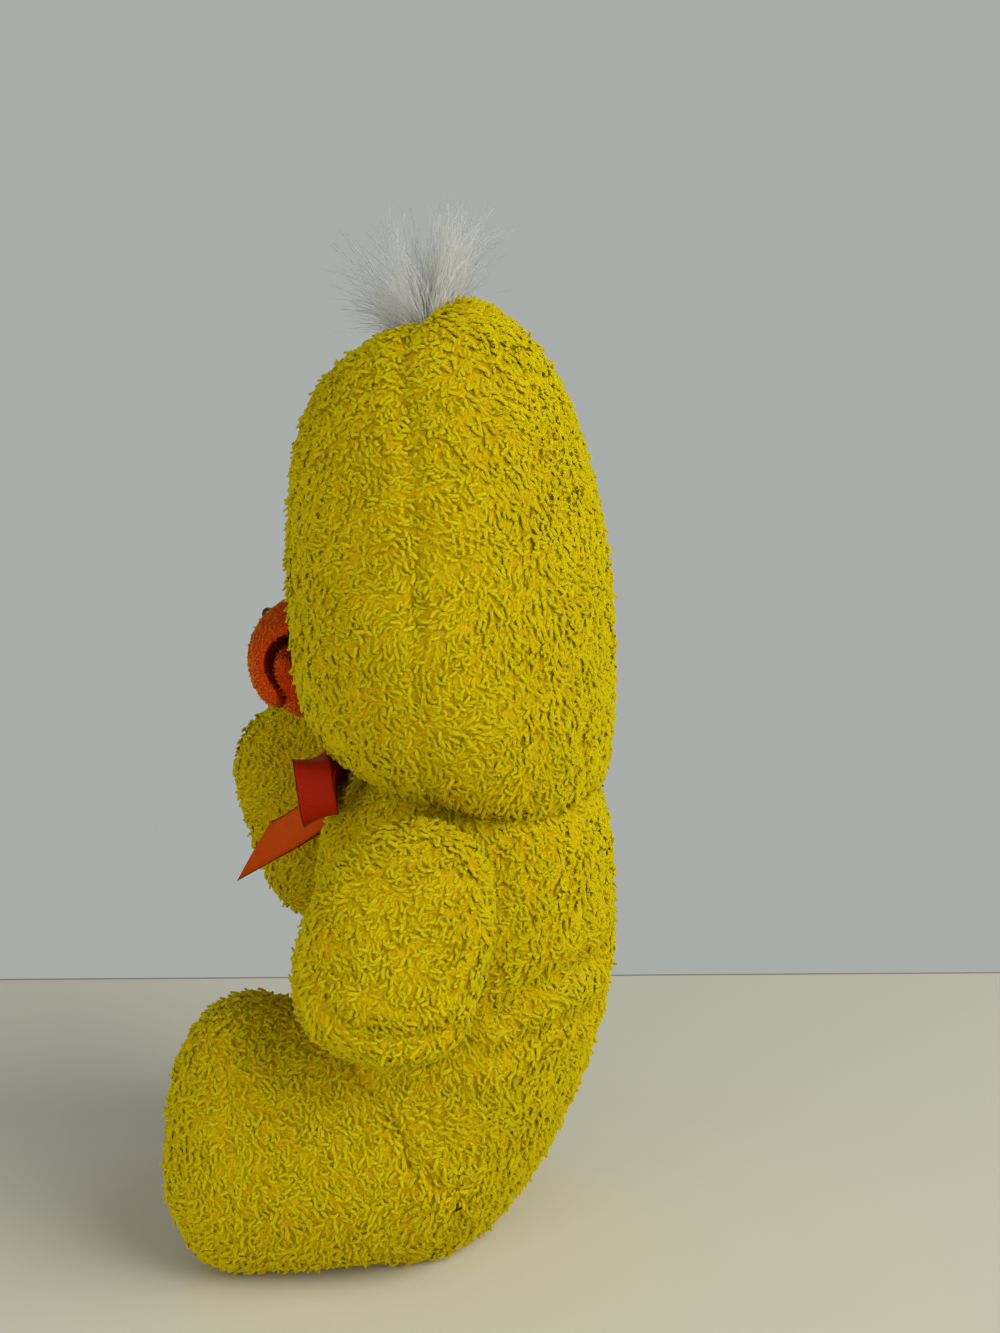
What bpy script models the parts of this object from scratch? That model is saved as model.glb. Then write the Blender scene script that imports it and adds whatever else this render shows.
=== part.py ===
"""Seated plush duck, built from its sewn pieces.

Metres, +Z up. The duck faces -Y and its left is +X. The origin is on the table, under the body.
"""
import math

import bmesh
import bpy
from mathutils import Vector

# Body, the sack that carries everything else
BODY_HEIGHT = 0.098
BODY_WIDTH = 0.071
BODY_DEPTH = 0.0560
SEAT_SINK = 0.0026          # how much of the soft underside the table has pressed flat

# Head, a tall loaf pulled down over the top of the body
HEAD_HEIGHT = 0.0888
HEAD_WIDTH = 0.0800
HEAD_DEPTH = 0.0572
NECK_OVERLAP = 0.0105       # height of the body's top that the head hides
JAW_TILT = math.radians(17)  # the head's lower edge drops towards the back
CROWN_TILT = math.radians(17)  # its crown drops towards the front

# Wings, flat mittens
WING_WIDTH = 0.0335
WING_THICKNESS = 0.0230
WING_LENGTH = 0.0440
FAR_WING_WIDTH = 0.0575     # the right one lies flat against the chest and spreads wider
FAR_WING_THICKNESS = 0.0165
FAR_WING_LENGTH = 0.0505
SHOULDER_DROP = 0.016       # from the body's top down to the wing root
SHOULDER_BACK = 0.0062      # the left wing's root behind the body's middle
FAR_SHOULDER_AHEAD = 0.0115
FAR_SHOULDER_DROP = 0.0310

# Legs, each with its rounded foot
LEG_WIDTH = 0.0350
FOOT_HEIGHT = 0.0530
LEG_LENGTH = 0.0710
FOOT_SPREAD = 0.0690        # between the two feet's middles
HIP_SPREAD = 0.0400         # between the two roots, so the legs lie in a V
HIP_BACK = 0.0100           # roots behind the body's middle

# Bill, two padded halves of short-pile cloth
BILL_WIDTH = 0.0440
LOWER_BILL_WIDTH = 0.0380
BILL_HEIGHT = 0.0250
BILL_REACH = 0.0122
BILL_LIP = 0.0052           # mean thickness of the upper half
BILL_RISE = 0.0240          # bill's middle above the head's lower edge
MOUTH_GAP = 0.0008
NOSTRIL_SPACING = 0.0140
NOSTRIL_LENGTH = 0.0024
NOSTRIL_THICKNESS = 0.0009

# Eyes
EYE_DIAMETER = 0.0064
EYE_SPACING = 0.0200
EYE_RISE = 0.0460           # above the head's lower edge

# Crest of white hair
CREST_HEIGHT = 0.0236
CREST_SPREAD = 0.0310
CREST_ROOT = 0.0080
CREST_LOCKS = 15
LOCK_THICKNESS = 0.0058
LOCK_RINGS = 5
CREST_FORWARD = 0.0058      # root in front of the head's middle
CREST_SINK = 0.0010

# Satin ribbon bow under the chin
RIBBON_WIDTH = 0.0068
RIBBON_THICKNESS = 0.0006
LOOP_REACH = 0.0260
FAR_LOOP_REACH = 0.0120     # the right loop is pushed in by the folded wing
LOOP_DROOP = 0.0095
FAR_LOOP_DROOP = 0.0070
LOOP_PARTING = 0.0013       # between a loop's two runs where they enter the knot
TAIL_REACH = 0.0260
TAIL_DROP = 0.0222
TAIL_SLANT = 0.0135         # how far back the cut end's upper corner lies
TAIL_AHEAD = 0.0050         # the tails leave the knot in front of its middle
TAIL_BEND = 0.0030
KNOT_WIDTH = 0.0060
KNOT_HEIGHT = 0.0078
KNOT_DEPTH = 0.0050
BOW_DROP = 0.0070           # knot's middle below the body's top

# Seams
SEAT_GAP = 0.0003           # kept between any two pieces that touch
SEW_IN = 0.0080             # how far a limb's root runs into the body before it is trimmed

# Fineness
BODY_SIDES = 18
LIMB_SIDES = 14
BILL_SIDES = 14

# Colours (linear red, green, blue)
TERRY_YELLOW = (0.74, 0.60, 0.012)
BILL_ORANGE = (0.66, 0.11, 0.006)
RIBBON_ORANGE = (0.66, 0.085, 0.004)
HAIR_WHITE = (0.84, 0.83, 0.79)
EYE_BLACK = (0.010, 0.009, 0.009)
THREAD_BLACK = (0.022, 0.014, 0.012)

# Heights that several pieces share
HEAD_BASE = BODY_HEIGHT - NECK_OVERLAP
HEAD_BACKSET = 0.0002       # head's middle behind the body's
BODY_BACKSET = 0.0008

# Profiles: share of the height, of the width and of the depth, and the middle's shift to the back
HEAD_PROFILE = (
    (0.000, 0.54, 0.88, 0.024),
    (0.050, 0.77, 0.94, 0.014),
    (0.125, 0.93, 0.985, 0.006),
    (0.230, 1.00, 0.990, 0.002),
    (0.350, 1.00, 1.000, -0.004),
    (0.490, 0.965, 0.980, -0.020),
    (0.630, 0.895, 0.940, -0.040),
    (0.770, 0.775, 0.855, -0.064),
    (0.880, 0.620, 0.710, -0.076),
    (0.948, 0.430, 0.480, -0.090),
    (0.990, 0.210, 0.210, -0.052),
)
BODY_PROFILE = (
    (0.000, 0.56, 0.38, -0.130),
    (0.050, 0.74, 0.51, -0.110),
    (0.130, 0.90, 0.665, -0.086),
    (0.260, 0.985, 0.820, -0.052),
    (0.400, 1.000, 0.945, -0.018),
    (0.560, 0.970, 0.990, 0.008),
    (0.700, 0.920, 0.985, 0.016),
    (0.820, 0.850, 0.960, 0.020),
    (0.910, 0.720, 0.850, 0.026),
    (0.970, 0.520, 0.580, 0.032),
    (1.000, 0.300, 0.340, 0.036),
)
WING_PROFILE = (
    (0.00, 0.52, 0.62),
    (0.14, 0.78, 0.90),
    (0.34, 0.96, 1.00),
    (0.58, 1.00, 1.00),
    (0.80, 0.92, 0.90),
    (0.93, 0.72, 0.70),
    (1.00, 0.42, 0.40),
)
LEG_PROFILE = (
    (0.00, 0.46, 0.42),
    (0.16, 0.76, 0.66),
    (0.36, 0.93, 0.80),
    (0.58, 1.00, 0.92),
    (0.78, 0.98, 0.98),
    (0.91, 0.80, 0.82),
    (1.00, 0.40, 0.42),
)


def clear_scene():
    for obj in list(bpy.data.objects):
        bpy.data.objects.remove(obj, do_unlink=True)


def new_collection(name):
    collection = bpy.data.collections.new(name)
    bpy.context.scene.collection.children.link(collection)
    return collection


def new_material(name, color, roughness, sheen=0.0, coat=0.0):
    made = bpy.data.materials.new(name)
    made.use_nodes = True
    shader = made.node_tree.nodes["Principled BSDF"]
    shader.inputs["Base Color"].default_value = (*color, 1.0)
    shader.inputs["Roughness"].default_value = roughness
    shader.inputs["Metallic"].default_value = 0.0
    shader.inputs["Sheen Weight"].default_value = sheen
    shader.inputs["Coat Weight"].default_value = coat
    made.diffuse_color = (*color, 1.0)
    return made


def add_object(name, mesh, material, collection):
    obj = bpy.data.objects.new(name, mesh)
    collection.objects.link(obj)
    mesh.materials.append(material)
    mesh.shade_smooth()
    return obj


def mesh_from(bm, name):
    bmesh.ops.recalc_face_normals(bm, faces=bm.faces)
    mesh = bpy.data.meshes.new(name)
    bm.to_mesh(mesh)
    bm.free()
    return mesh


def blend_keys(keys, share):
    """Reads a list of (share, value, ...) rows at one share, along a smooth curve."""
    last = len(keys) - 1
    step = 0
    while step < last - 1 and share > keys[step + 1][0]:
        step += 1
    before, here = keys[max(step - 1, 0)], keys[step]
    there, after = keys[step + 1], keys[min(step + 2, last)]
    span = there[0] - here[0]
    t = (share - here[0]) / span
    result = []
    for column in range(1, len(here)):
        slope_in = (there[column] - before[column]) / (there[0] - before[0]) * span
        slope_out = (after[column] - here[column]) / (after[0] - here[0]) * span
        rise = there[column] - here[column]
        curve = 2 * slope_in + slope_out
        result.append(here[column] + slope_in * t + (3 * rise - curve) * t ** 2
                      + (slope_in + slope_out - 2 * rise) * t ** 3)
    return result


def spaced(count):
    """Shares from 0 to 1, closer together towards both ends."""
    return [0.5 - 0.5 * math.cos(math.pi * i / (count - 1)) for i in range(count)]


def ring_points(centre, wide, deep, sides, square=2.2):
    """Points round an oval: wide and deep are its half axes, square over 2 fills its corners."""
    points = []
    for i in range(sides):
        angle = 2 * math.pi * i / sides
        c, s = math.cos(angle), math.sin(angle)
        across = math.copysign(abs(c) ** (2 / square), c)
        along = math.copysign(abs(s) ** (2 / square), s)
        points.append(centre + wide * across + deep * along)
    return points


def add_loft(bm, rings):
    """Adds one closed skin through rings of equal count, with both ends filled."""
    edge_rings = []
    for points in rings:
        made = bmesh.ops.create_circle(bm, segments=len(points), radius=1.0)["verts"]
        for vert, point in zip(made, points):
            vert.co = point
        edge_rings.append(list({edge: True for vert in made for edge in vert.link_edges}))
    for lower, upper in zip(edge_rings, edge_rings[1:]):
        bmesh.ops.bridge_loops(bm, edges=lower + upper)
    for end in (edge_rings[0], edge_rings[-1]):
        bmesh.ops.contextual_create(bm, geom=end)


def loft(name, rings):
    bm = bmesh.new()
    add_loft(bm, rings)
    return mesh_from(bm, name)


def subdivide(obj, levels=1):
    modifier = obj.modifiers.new("smooth", "SUBSURF")
    modifier.levels = levels
    modifier.render_levels = levels


def cut(obj, cutter):
    modifier = obj.modifiers.new("trim " + cutter.name, "BOOLEAN")
    modifier.operation = "DIFFERENCE"
    modifier.solver = "EXACT"
    modifier.object = cutter


def as_cutter(obj):
    obj.hide_render = True
    obj.display_type = "WIRE"
    return obj


def swollen(obj, gap, cutters):
    """A copy of a piece, grown by a gap, that trims what lies against the piece."""
    copy = bpy.data.objects.new(obj.name + " clearance", obj.data)
    cutters.objects.link(copy)
    subdivide(copy)
    grow = copy.modifiers.new("gap", "DISPLACE")
    grow.direction = "NORMAL"
    grow.mid_level = 0.0
    grow.strength = gap
    return as_cutter(copy)


def evaluated(obj):
    bpy.context.view_layer.update()
    return obj.evaluated_get(bpy.context.evaluated_depsgraph_get())


def surface_at(obj, start, direction):
    """Where a ray first meets a piece, and the surface's direction there."""
    hit, place, normal, _ = evaluated(obj).ray_cast(start, direction)
    if not hit:
        raise ValueError(f"the ray misses {obj.name}")
    return place, normal


def front_of(obj, x, z):
    return surface_at(obj, Vector((x, -1.0, z)), Vector((0, 1, 0)))


def profile_rings(profile, base, height, width, depth, backset, tilts, sides, rings):
    """Level ovals up a profile; tilts lower the bottom ones' backs and the top ones' fronts."""
    made = []
    for share in spaced(rings):
        share *= profile[-1][0]
        wide, deep, shift = blend_keys(profile, share)
        lean = tilts[0] * max(0.0, 1 - share / 0.5) - tilts[1] * max(0.0, (share - 0.75) / 0.25)
        centre = Vector((0, backset + depth * shift, base + height * share))
        half_deep = Vector((0, math.cos(lean), -math.sin(lean))) * (depth / 2 * deep)
        made.append(ring_points(centre, Vector((width / 2 * wide, 0, 0)), half_deep, sides))
    return made


def limb_rings(spine, profile, width, thickness, wide_axis, sides, rings):
    """Ovals square to a curved spine; wide_axis is the way the limb's width lies."""
    keys = [(i / (len(spine) - 1), *point) for i, point in enumerate(spine)]
    made = []
    for share in spaced(rings):
        centre = Vector(blend_keys(keys, share))
        ahead = Vector(blend_keys(keys, min(share + 0.02, 1)))
        behind = Vector(blend_keys(keys, max(share - 0.02, 0)))
        along = (ahead - behind).normalized()
        wide = (wide_axis - along * wide_axis.dot(along)).normalized()
        thin = along.cross(wide)
        wide_share, thin_share = blend_keys(profile, share)
        made.append(ring_points(centre, wide * (width / 2 * wide_share),
                                thin * (thickness / 2 * thin_share), sides))
    return made


def make_floor(cutters):
    """A block whose top is the table: it presses the undersides flat."""
    size = 2 * (BODY_WIDTH + LEG_LENGTH + WING_LENGTH)
    bm = bmesh.new()
    bmesh.ops.create_cube(bm, size=size)
    bmesh.ops.translate(bm, verts=bm.verts, vec=(0, 0, -size / 2))
    floor = bpy.data.objects.new("table clearance", mesh_from(bm, "table clearance"))
    cutters.objects.link(floor)
    return as_cutter(floor)


def make_body(parts, material, floor):
    rings = profile_rings(BODY_PROFILE, -SEAT_SINK, BODY_HEIGHT + SEAT_SINK, BODY_WIDTH, BODY_DEPTH,
                          BODY_BACKSET, (0.0, 0.0), BODY_SIDES, 12)
    body = add_object("body", loft("body", rings), material, parts)
    subdivide(body)
    cut(body, floor)
    return body


def make_head(parts, material, body_room):
    rings = profile_rings(HEAD_PROFILE, HEAD_BASE, HEAD_HEIGHT, HEAD_WIDTH, HEAD_DEPTH,
                          HEAD_BACKSET, (JAW_TILT, CROWN_TILT), BODY_SIDES, 12)
    head = add_object("head", loft("head", rings), material, parts)
    subdivide(head)
    cut(head, body_room)
    return head


def make_wing(name, spine, width, thickness, wide_axis, parts, material, rooms):
    rings = limb_rings(spine, WING_PROFILE, width, thickness, wide_axis, LIMB_SIDES, 9)
    wing = add_object(name, loft(name, rings), material, parts)
    subdivide(wing)
    for room in rooms:
        cut(wing, room)
    return wing


def make_wings(parts, material, rooms, right_leg_room):
    """The left wing hangs out and down; the right one is folded forward over the chest."""
    side = BODY_WIDTH / 2
    left_root = Vector((side - SEW_IN, SHOULDER_BACK, BODY_HEIGHT - SHOULDER_DROP))
    left_way = Vector((0.62, -0.14, -0.78)).normalized()
    left_spine = [
        left_root,
        left_root + Vector((0.30, -0.02, -0.18)) * WING_LENGTH,
        left_root + left_way * WING_LENGTH * 0.62,
        left_root + left_way * WING_LENGTH * 0.90,
    ]
    make_wing("wing_left", left_spine, WING_WIDTH, WING_THICKNESS, Vector((-0.34, 0.94, 0)),
              parts, material, rooms)

    far_side = side * math.sqrt(1 - (2 * FAR_SHOULDER_AHEAD / BODY_DEPTH) ** 2)
    right_root = Vector((SEW_IN - far_side, -FAR_SHOULDER_AHEAD, BODY_HEIGHT - FAR_SHOULDER_DROP))
    right_spine = [
        right_root,
        right_root + Vector((-0.12, -0.28, 0.08)) * FAR_WING_LENGTH,
        right_root + Vector((-0.08, -0.57, 0.11)) * FAR_WING_LENGTH,
        right_root + Vector((0.06, -0.84, 0.02)) * FAR_WING_LENGTH,
    ]
    make_wing("wing_right", right_spine, FAR_WING_WIDTH, FAR_WING_THICKNESS,
              Vector((0, -0.40, 0.92)), parts, material, (*rooms, right_leg_room))


def make_legs(parts, material, floor, body_room):
    """Thick legs in a V: each runs forward along the table and ends in a raised round foot.

    Returns the right one, which the folded wing rests on.
    """
    for name, side in (("leg_left", 1), ("leg_right", -1)):
        hip = Vector((side * HIP_SPREAD / 2, HIP_BACK, FOOT_HEIGHT * 0.49))
        toe = Vector((side * FOOT_SPREAD / 2, hip.y - 0.76 * LEG_LENGTH, FOOT_HEIGHT * 0.510))
        ball = hip.lerp(toe, 0.70)
        ball.z = FOOT_HEIGHT * 0.485
        thigh = hip.lerp(toe, 0.35)
        thigh.z = FOOT_HEIGHT * 0.44
        rings = limb_rings([hip, thigh, ball, toe], LEG_PROFILE, LEG_WIDTH, FOOT_HEIGHT + SEAT_SINK,
                           Vector((side, 0.55, 0)), LIMB_SIDES, 10)
        leg = add_object(name, loft(name, rings), material, parts)
        subdivide(leg)
        cut(leg, floor)
        cut(leg, body_room)
    return leg


def bill_rings(outline, width, stations):
    """Slices across the bill; outline(swell) gives a slice's (ahead, up) shares, thin at the ends."""
    middle_z = HEAD_BASE + BILL_RISE
    rings = []
    for i in range(stations):
        across = math.sin(math.pi * (i / (stations - 1) - 0.5))
        fullness = 1 - 0.26 * abs(across) ** 3
        swell = max(0.30, (1 - abs(across) ** 5) ** 0.5)
        x = across * width / 2
        face_y = HEAD_BACKSET - HEAD_DEPTH / 2 * math.sqrt(1 - (x / (HEAD_WIDTH / 2)) ** 2)
        rings.append([Vector((x, face_y - ahead * BILL_REACH * fullness,
                              middle_z + up * BILL_HEIGHT / 2 * fullness)) for ahead, up in outline(swell)])
    return rings


def hooked_outline(swell):
    """Side view of the upper half: it leaves the face, turns down and ends in a rounded lip."""
    start, end = math.radians(128), math.radians(-70)
    steps = BILL_SIDES // 2
    outer, inner = [], []
    for i in range(steps):
        share = i / (steps - 1)
        angle = start + (end - start) * share
        lip = BILL_LIP * (0.75 + 0.45 * share)
        for side, points in ((1, outer), (-1, inner)):
            ahead = 1 - lip / BILL_REACH * (1 - side * swell) / 2
            up = 1 - lip / (BILL_HEIGHT / 2) * (1 - side * swell) / 2
            points.append((ahead * math.cos(angle), up * math.sin(angle)))
    return outer + inner[::-1]


def lower_outline(swell):
    """Side view of the lower half: a pad inside the hook that shows below its lip."""
    sides = BILL_SIDES - 2
    points = []
    for i in range(sides):
        angle = 2 * math.pi * i / sides
        points.append((0.08 + 0.46 * swell * math.cos(angle), -0.40 + 0.60 * swell * math.sin(angle)))
    return points


def make_bill(parts, material, thread, head_room, cutters):
    rings = bill_rings(hooked_outline, BILL_WIDTH, 11)
    upper = add_object("bill_upper", loft("bill_upper", rings), material, parts)
    subdivide(upper)
    cut(upper, head_room)

    rings = bill_rings(lower_outline, LOWER_BILL_WIDTH, 9)
    lower = add_object("bill_lower", loft("bill_lower", rings), material, parts)
    subdivide(lower)
    cut(lower, head_room)
    cut(lower, swollen(upper, MOUTH_GAP, cutters))
    make_nostrils(upper, parts, thread, cutters)


def make_nostrils(upper, parts, thread, cutters):
    """Two short stitches of dark thread over the front of the upper half."""
    angle = math.radians(40)
    z = HEAD_BASE + BILL_RISE + BILL_HEIGHT / 2 * math.sin(angle)
    room = swollen(upper, SEAT_GAP, cutters)
    for name, side in (("nostril_left", 1), ("nostril_right", -1)):
        place, normal = front_of(upper, side * NOSTRIL_SPACING / 2, z)
        bm = bmesh.new()
        bmesh.ops.create_uvsphere(bm, u_segments=10, v_segments=7, radius=0.5)
        bmesh.ops.scale(bm, verts=bm.verts, vec=(NOSTRIL_THICKNESS, NOSTRIL_THICKNESS, NOSTRIL_LENGTH))
        turn = normal.to_track_quat("Y", "Z").to_matrix()
        bmesh.ops.rotate(bm, verts=bm.verts, cent=(0, 0, 0), matrix=turn)
        stitch = add_object(name, mesh_from(bm, name), thread, parts)
        stitch.location = place + normal * (SEAT_GAP + NOSTRIL_THICKNESS * 0.2)
        cut(stitch, room)


def make_eyes(head, parts, material, head_room):
    for name, side in (("eye_left", 1), ("eye_right", -1)):
        place, normal = front_of(head, side * EYE_SPACING / 2, HEAD_BASE + EYE_RISE)
        bm = bmesh.new()
        bmesh.ops.create_uvsphere(bm, u_segments=16, v_segments=10, radius=EYE_DIAMETER / 2)
        bmesh.ops.scale(bm, verts=bm.verts, vec=(1, 1, 0.72))
        bmesh.ops.rotate(bm, verts=bm.verts, cent=(0, 0, 0), matrix=normal.to_track_quat("Z", "Y").to_matrix())
        eye = add_object(name, mesh_from(bm, name), material, parts)
        eye.location = place + normal * (EYE_DIAMETER * -0.06)
        cut(eye, head_room)


def make_crest(head, parts, material, cutters):
    """Tapered locks that fan out of one sewn root, joined there into one tuft."""
    start = Vector((0, HEAD_BACKSET - CREST_FORWARD, 1.0))
    top, _ = surface_at(head, start, Vector((0, 0, -1)))
    golden = math.pi * (3 - math.sqrt(5))
    locks = bmesh.new()
    for i in range(CREST_LOCKS):
        outwards = math.sqrt(i / (CREST_LOCKS - 1))
        heading = Vector((math.cos(i * golden), math.sin(i * golden), 0))
        height = CREST_HEIGHT * (1 - 0.34 * outwards ** 2 + 0.05 * math.sin(5.0 * i))
        rings = []
        for step in range(LOCK_RINGS):
            up = step / (LOCK_RINGS - 1)
            reach = CREST_SPREAD / 2 * outwards * (0.12 * (1 - up) + up ** 1.5)
            centre = top + heading * reach + Vector((0, 0, height * up - CREST_SINK * (1 - up)))
            radius = LOCK_THICKNESS / 2 * (0.45 + 1.1 * up - 1.42 * up ** 2)
            rings.append(ring_points(centre, Vector((radius, 0, 0)), Vector((0, radius, 0)), 6, 2))
        add_loft(locks, rings)
    crest = add_object("crest", mesh_from(locks, "crest"), material, parts)

    plug = bmesh.new()
    made = bmesh.ops.create_uvsphere(plug, u_segments=12, v_segments=8, radius=CREST_ROOT / 2)
    bmesh.ops.translate(plug, verts=made["verts"], vec=top + Vector((0, 0, CREST_ROOT * 0.16)))
    root = bpy.data.objects.new("crest root", mesh_from(plug, "crest root"))
    cutters.objects.link(as_cutter(root))
    join = crest.modifiers.new("join locks", "BOOLEAN")
    join.operation = "UNION"
    join.solver = "EXACT"
    join.use_self = True
    join.object = root
    return crest


def ribbon_strip(name, path, wide_ways, parts, material, rooms):
    """A ribbon that follows a path; wide_ways gives its width's direction at each point."""
    bm = bmesh.new()
    ends = []
    for point, way in zip(path, wide_ways):
        half = way.normalized() * RIBBON_WIDTH / 2
        ends.append((bm.verts.new(point - half), bm.verts.new(point + half)))
    for (a, b), (c, d) in zip(ends, ends[1:]):
        bm.faces.new((a, b, d, c))
    strip = add_object(name, mesh_from(bm, name), material, parts)
    wall = strip.modifiers.new("thickness", "SOLIDIFY")
    wall.thickness = RIBBON_THICKNESS
    wall.offset = 0.0
    for room in rooms:
        cut(strip, room)
    return strip


def curve_through(points, count):
    """Even steps along a smooth curve through a few points."""
    keys = [(i / (len(points) - 1), *point) for i, point in enumerate(points)]
    return [Vector(blend_keys(keys, i / (count - 1))) for i in range(count)]


# A loop's route: shares of its reach sideways and to the back, of its droop, and how far it has
# turned from upright at the knot to level at its outer end
LOOP_ROUTE = (
    (0.00, 0.00, -0.10, 0.0),
    (0.34, -0.07, -0.22, 0.25),
    (0.70, -0.02, -0.42, 0.85),
    (0.96, 0.10, -0.46, 1.0),
    (1.03, 0.15, -0.02, 1.0),
    (0.97, 0.15, 0.54, 1.0),
    (0.68, 0.02, 0.62, 0.75),
    (0.34, -0.05, 0.26, 0.25),
    (0.00, 0.00, 0.10, 0.0),
)


def make_knot(chest, parts, material, rooms):
    bm = bmesh.new()
    bmesh.ops.create_cube(bm, size=1.0)
    bmesh.ops.scale(bm, verts=bm.verts, vec=(KNOT_WIDTH, KNOT_DEPTH, KNOT_HEIGHT))
    middle = chest + Vector((0, -KNOT_DEPTH / 2 - SEAT_GAP, 0))
    bmesh.ops.translate(bm, verts=bm.verts, vec=middle)
    knot = add_object("bow_knot", mesh_from(bm, "bow_knot"), material, parts)
    rounding = knot.modifiers.new("rounded", "BEVEL")
    rounding.width = KNOT_DEPTH * 0.30
    rounding.segments = 3
    for room in rooms:
        cut(knot, room)
    return middle


def make_loop(name, side, reach, droop_by, knot_middle, parts, material, rooms):
    near = KNOT_WIDTH / 2 + SEAT_GAP
    points, ways = [], []
    for i, (sideways, back, droop, turned) in enumerate(LOOP_ROUTE):
        parted = LOOP_PARTING * i / (len(LOOP_ROUTE) - 1)
        step = Vector((side * (near + sideways * reach), back * reach + parted, -droop * droop_by))
        points.append(knot_middle + step)
        ways.append(Vector((-0.34 * side * turned, 0.94 * turned, 1.0 - turned)).normalized())
    count = 21
    ribbon_strip(name, curve_through(points, count), curve_through(ways, count), parts, material, rooms)


def make_tail(name, side, knot_middle, parts, material, rooms):
    """A tail drops from the knot, then flares forward and ends in a slanted cut."""
    root = knot_middle + Vector((side * KNOT_WIDTH * 0.3, -TAIL_AHEAD, -KNOT_HEIGHT / 2 - SEAT_GAP))
    tip = root + Vector((side * KNOT_WIDTH * 0.5, TAIL_AHEAD - TAIL_REACH, KNOT_HEIGHT / 2 - TAIL_DROP))
    bend = root + Vector((side * KNOT_WIDTH * 0.45, -TAIL_BEND, (tip.z - root.z) * 0.38))
    path = curve_through([root, bend, tip], 10)
    ways = []
    for here, ahead in zip(path, path[1:] + [path[-1] * 2 - path[-2]]):
        ways.append((ahead - here).cross(Vector((1, 0, 0))).normalized())
    strip = ribbon_strip(name, path, ways, parts, material, rooms)
    slant_end(strip.data, path)


def slant_end(mesh, path):
    """Draws a strip's upper edge back, more and more towards its tip: a cut on the slant."""
    last = len(path) - 1
    for i in range(1, last + 1):
        along = (path[i] - path[i - 1]).normalized()
        mesh.vertices[2 * i + 1].co -= along * TAIL_SLANT * (i / last) ** 2


def make_bow(body, parts, material, body_room, head_room):
    """A knot under the chin, two drooping loops and two cut tails."""
    rooms = (body_room, head_room)
    chest, _ = front_of(body, 0.0, BODY_HEIGHT - BOW_DROP)
    knot_middle = make_knot(chest, parts, material, rooms)
    for side, hand, reach, droop_by in ((1, "left", LOOP_REACH, LOOP_DROOP),
                                        (-1, "right", FAR_LOOP_REACH, FAR_LOOP_DROOP)):
        make_loop("bow_loop_" + hand, side, reach, droop_by, knot_middle, parts, material, rooms)
        make_tail("bow_tail_" + hand, side, knot_middle, parts, material, rooms)


def main():
    clear_scene()
    parts = new_collection("plush duck")
    cutters = new_collection("clearances")
    terry = new_material("yellow terry", TERRY_YELLOW, 0.95, sheen=0.4)
    velour = new_material("orange velour", BILL_ORANGE, 0.85, sheen=0.4)
    satin = new_material("orange satin", RIBBON_ORANGE, 0.35, sheen=0.2)
    hair = new_material("white hair", HAIR_WHITE, 0.45)
    glass = new_material("black eye", EYE_BLACK, 0.08, coat=1.0)
    thread = new_material("black thread", THREAD_BLACK, 0.7)

    floor = make_floor(cutters)
    body = make_body(parts, terry, floor)
    body_room = swollen(body, SEAT_GAP, cutters)
    head = make_head(parts, terry, body_room)
    head_room = swollen(head, SEAT_GAP, cutters)
    right_leg = make_legs(parts, terry, floor, body_room)
    make_wings(parts, terry, (body_room, head_room), swollen(right_leg, SEAT_GAP, cutters))
    make_bill(parts, velour, thread, head_room, cutters)
    make_eyes(head, parts, glass, head_room)
    crest = make_crest(head, parts, hair, cutters)
    cut(crest, head_room)
    make_bow(body, parts, satin, body_room, head_room)


main()
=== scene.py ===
"""Seated plush duck: its looped terry, hair tuft, padded bill, ribbon bow and eyes, in metres.

The duck faces -Y and its left is +X. Each stuffed piece is a cloth ground with yarn loops on it.
"""

import math

import bmesh
import bpy
import numpy as np
from mathutils import Matrix, Vector, noise
from mathutils.bvhtree import BVHTree
from mathutils.kdtree import KDTree


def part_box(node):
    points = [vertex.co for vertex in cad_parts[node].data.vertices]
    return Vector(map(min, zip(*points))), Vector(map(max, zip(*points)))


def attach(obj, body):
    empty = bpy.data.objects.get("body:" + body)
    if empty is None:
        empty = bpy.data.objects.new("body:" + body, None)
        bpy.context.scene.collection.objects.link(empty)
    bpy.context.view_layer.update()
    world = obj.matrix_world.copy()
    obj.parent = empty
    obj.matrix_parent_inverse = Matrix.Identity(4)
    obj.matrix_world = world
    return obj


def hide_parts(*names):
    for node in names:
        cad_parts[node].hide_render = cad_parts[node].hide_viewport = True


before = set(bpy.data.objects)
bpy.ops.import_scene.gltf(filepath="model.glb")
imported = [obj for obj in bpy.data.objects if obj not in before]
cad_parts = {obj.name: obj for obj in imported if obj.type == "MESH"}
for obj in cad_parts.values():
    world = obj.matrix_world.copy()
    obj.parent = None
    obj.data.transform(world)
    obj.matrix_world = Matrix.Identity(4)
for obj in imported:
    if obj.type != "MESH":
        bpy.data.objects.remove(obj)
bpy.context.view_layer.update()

# Camera: how it stands round the duck, in degrees and metres, and its lens
CAMERA_TURN = 110.0          # from straight in front, towards the duck's left
CAMERA_AWAY = 0.360
CAMERA_HEIGHT = 0.165
PICTURE = (1000, 1333)
FOCAL_PIXELS = 1930.0
AXIS_PIXEL = 457.0           # where the duck's upright axis falls across the picture
LEVEL_PIXEL, LEVEL_HEIGHT = 305.0, 0.177   # the crown's row in the picture, and its height
TABLE_BEHIND = 0.154         # the table's far edge behind the duck

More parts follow.
